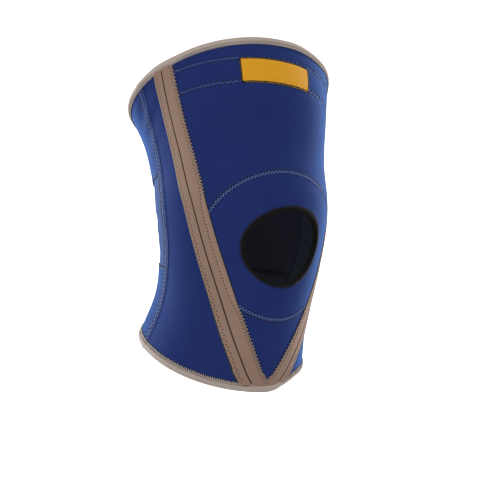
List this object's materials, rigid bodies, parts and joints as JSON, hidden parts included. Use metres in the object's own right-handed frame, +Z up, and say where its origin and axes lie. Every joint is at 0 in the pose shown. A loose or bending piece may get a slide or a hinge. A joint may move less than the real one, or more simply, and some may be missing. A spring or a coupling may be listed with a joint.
{
  "type": "knee sleeve",
  "caption": "Worn-form padded knee sleeve with an open kneecap, taped side seams, bound rims and a thin insert behind the knee.",
  "frame": {"origin": "on the centre line of the sleeve at the bend of the knee", "axes": "+Z up, towards the thigh end; -Y to the front, where the kneecap opening is; +X towards the side that the picture shows at the right"},
  "size_m": [0.1617, 0.1513, 0.2609],
  "materials": {
    "blue_jersey": "matt navy nylon jersey laminated on neoprene foam, dark lining inside",
    "insert_jersey": "smoother, thinner blue stretch knit",
    "beige_knit": "matt beige knitted binding, overlocked along its inner edge",
    "beige_tape": "matt beige woven tape with a pressed crease and zigzag stitching",
    "black_knit": "matt black knitted binding",
    "amber_weave": "plain amber woven label with a dark border"
  },
  "bodies": {
    "root": {"front_panel": "blue_jersey", "knee_pad": "blue_jersey", "upper_back_panel": "blue_jersey", "popliteal_insert": "insert_jersey", "lower_back_panel": "blue_jersey", "thigh_binding": "beige_knit", "calf_binding": "beige_knit", "kneecap_binding": "black_knit", "lateral_tape": "beige_tape", "medial_tape": "beige_tape", "label": "amber_weave"}
  },
  "joints": []
}
